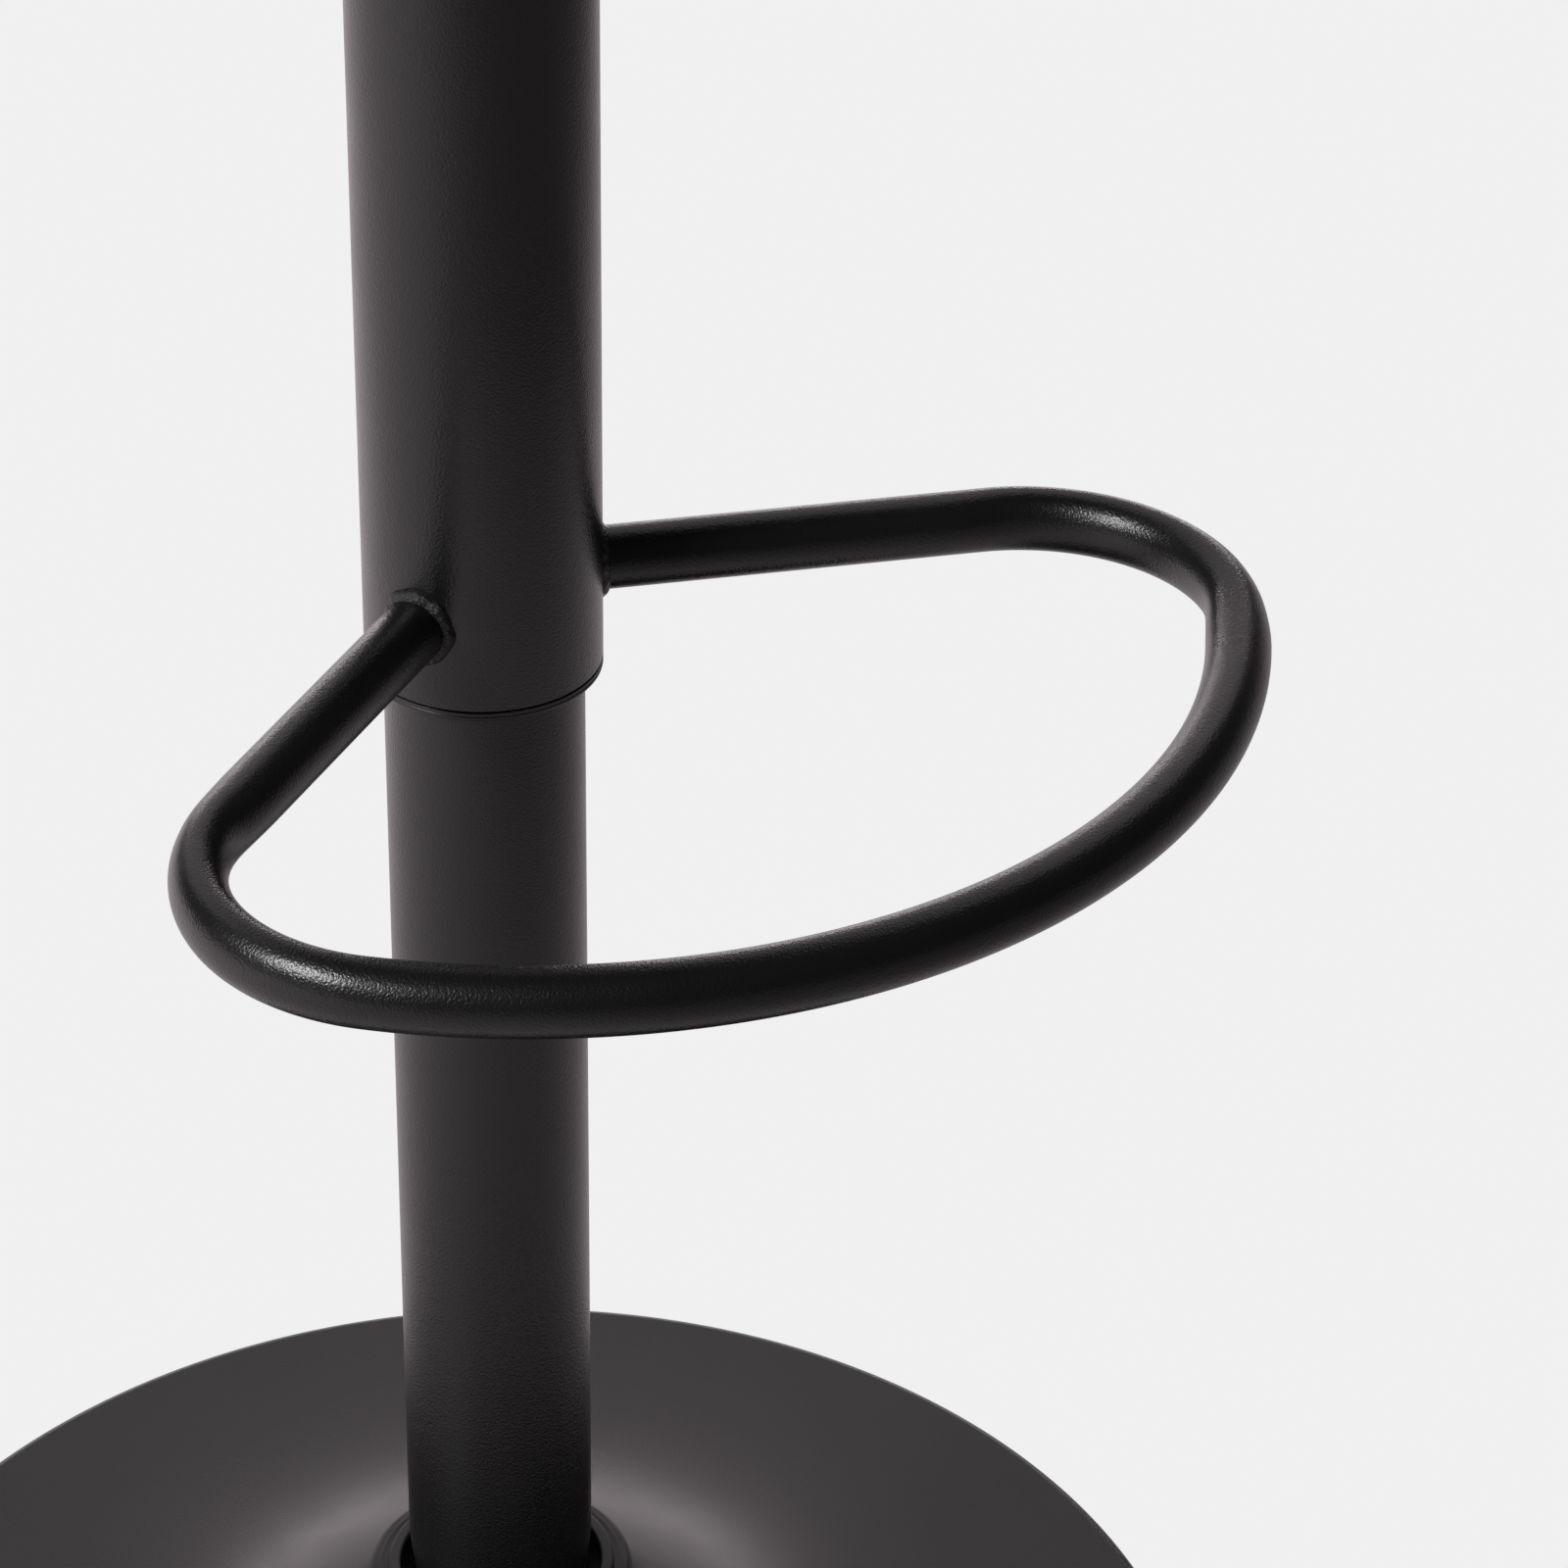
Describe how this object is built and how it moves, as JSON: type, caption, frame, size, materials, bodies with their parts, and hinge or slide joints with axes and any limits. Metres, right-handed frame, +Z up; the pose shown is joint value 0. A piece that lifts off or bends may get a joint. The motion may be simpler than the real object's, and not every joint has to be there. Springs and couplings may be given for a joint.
{
  "type": "bar stool",
  "caption": "Height-adjustable swivel bar stool with a round padded seat, gas-lift column, fixed D-shaped tubular footrest and trumpet base.",
  "frame": {"origin": "on the floor, on the column's axis, with the gas lift fully raised", "axes": "+Z up along the column; -Y is the front, where the footrest is; the lift lever is on -X, the sitter's right"},
  "size_m": [0.4069, 0.407, 0.82],
  "materials": {
    "powder_coat": "satin black powder coat with a fine orange peel",
    "base_coat": "satin black powder coat",
    "bare_steel": "plain rolled steel",
    "ballast_iron": "dull dark iron",
    "weld_steel": "weld bead",
    "black_plastic": "satin moulded black plastic",
    "acetal": "pale bearing plastic",
    "clear_edge": "translucent protective edging",
    "pad_rubber": "ribbed rubber",
    "bump_rubber": "dull rubber",
    "hard_chrome": "polished hard chrome",
    "ball_steel": "polished bearing steel",
    "cage_brass": "stamped brass",
    "piston_alloy": "turned aluminium",
    "cylinder_paint": "gloss black enamel",
    "zinc": "bright zinc plate",
    "board_ply": "birch plywood",
    "foam": "open-cell polyurethane foam",
    "faux_leather": "grained black faux leather",
    "dust_cloth": "black non-woven cloth",
    "grip_plastic": "soft-touch black plastic"
  },
  "bodies": {
    "base": {"floor_pad": "pad_rubber", "rim_gasket": "clear_edge", "ballast_plate": "ballast_iron", "hub_socket": "bare_steel", "hub_weld": "weld_steel", "base_shell": "base_coat", "base_collar": "black_plastic", "column_tube": "powder_coat", "column_end_plate": "bare_steel", "guide_bush": "acetal", "bearing_lower_race": "ball_steel"},
    "cage": {"bearing_cage": "cage_brass", "bearing_balls": "ball_steel"},
    "rod": {"bearing_upper_race": "ball_steel", "piston_rod": "hard_chrome", "rod_clip": "bare_steel", "bump_stop": "bump_rubber", "piston": "piston_alloy"},
    "carriage": {"gas_cylinder": "cylinder_paint", "cylinder_gland": "black_plastic", "column_sleeve": "powder_coat", "sleeve_guide_ring": "black_plastic", "sleeve_top_ring": "bare_steel", "footrest_bar": "powder_coat", "footrest_welds": "powder_coat", "seat_plate": "powder_coat", "taper_socket": "bare_steel", "lever_pin": "zinc", "seat_bolts": "zinc", "seat_washers": "zinc", "seat_tee_nuts": "zinc", "seat_board": "board_ply", "dust_cover": "dust_cloth", "seat_foam": "foam", "seat_cover": "faux_leather", "seat_piping": "faux_leather", "cover_staples": "zinc"},
    "lever": {"lever_rod": "zinc", "lever_grip": "grip_plastic"},
    "valve": {"valve_button": "hard_chrome"}
  },
  "joints": [
    {"name": "seat_swivel", "type": "hinge", "parent": "base", "child": "rod", "pos_m": [0, 0, 0], "axis": [0, 0, 1], "continuous": true},
    {"name": "cage_spin", "type": "hinge", "parent": "base", "child": "cage", "pos_m": [0, 0, 0], "axis": [0, 0, 1], "continuous": true},
    {"name": "seat_lift", "type": "slide", "parent": "rod", "child": "carriage", "axis": [0, 0, 1], "range_m": [-0.21, 0]},
    {"name": "lever_tilt", "type": "hinge", "parent": "carriage", "child": "lever", "pos_m": [-0.032, 0, 0.7253], "axis": [0, 1, 0], "range_deg": [0, 4]},
    {"name": "valve_press", "type": "slide", "parent": "carriage", "child": "valve", "axis": [0, 0, -1], "range_m": [0, 0.0026], "stiffness_N_per_m": 400, "springref_m": -0.004}
  ],
  "couplings": [
    {"joint": "cage_spin", "follows": "seat_swivel", "ratio": 0.5},
    {"joint": "valve_press", "follows": "lever_tilt", "m_per_rad": 0.036}
  ]
}
